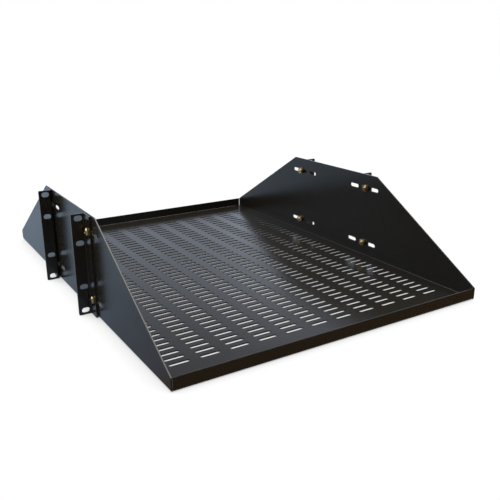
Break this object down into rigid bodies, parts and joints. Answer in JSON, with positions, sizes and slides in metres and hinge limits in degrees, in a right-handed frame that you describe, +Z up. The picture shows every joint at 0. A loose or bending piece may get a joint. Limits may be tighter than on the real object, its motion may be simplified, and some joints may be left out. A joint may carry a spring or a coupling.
{
  "type": "vented rack shelf",
  "caption": "Vented rack shelf folded from perforated sheet, with end lips, sloping slotted side panels and bolted mounting ears that slide along the panels.",
  "frame": {"origin": "on the surface the shelf stands on, below the middle of its bounding box", "axes": "+X to the right seen from the front, +Y to the back along the shelf's depth, +Z up"},
  "size_m": [0.4826, 0.606, 0.1327],
  "materials": {
    "shelf_sheet": "gloss black powder coat",
    "ear_plate": "gloss black powder coat",
    "fastener": "yellow zinc plating"
  },
  "bodies": {
    "root": {"shelf_body": "shelf_sheet", "front_left_ear": "ear_plate", "front_right_ear": "ear_plate", "rear_left_ear": "ear_plate", "rear_right_ear": "ear_plate", "front_left_upper_bolt": "fastener", "front_left_upper_washer": "fastener", "front_left_upper_nut": "fastener", "front_left_lower_bolt": "fastener", "front_left_lower_washer": "fastener", "front_left_lower_nut": "fastener", "front_right_upper_bolt": "fastener", "front_right_upper_washer": "fastener", "front_right_upper_nut": "fastener", "front_right_lower_bolt": "fastener", "front_right_lower_washer": "fastener", "front_right_lower_nut": "fastener", "rear_left_upper_bolt": "fastener", "rear_left_upper_washer": "fastener", "rear_left_upper_nut": "fastener", "rear_left_lower_bolt": "fastener", "rear_left_lower_washer": "fastener", "rear_left_lower_nut": "fastener", "rear_right_upper_bolt": "fastener", "rear_right_upper_washer": "fastener", "rear_right_upper_nut": "fastener", "rear_right_lower_bolt": "fastener", "rear_right_lower_washer": "fastener", "rear_right_lower_nut": "fastener"}
  },
  "joints": []
}
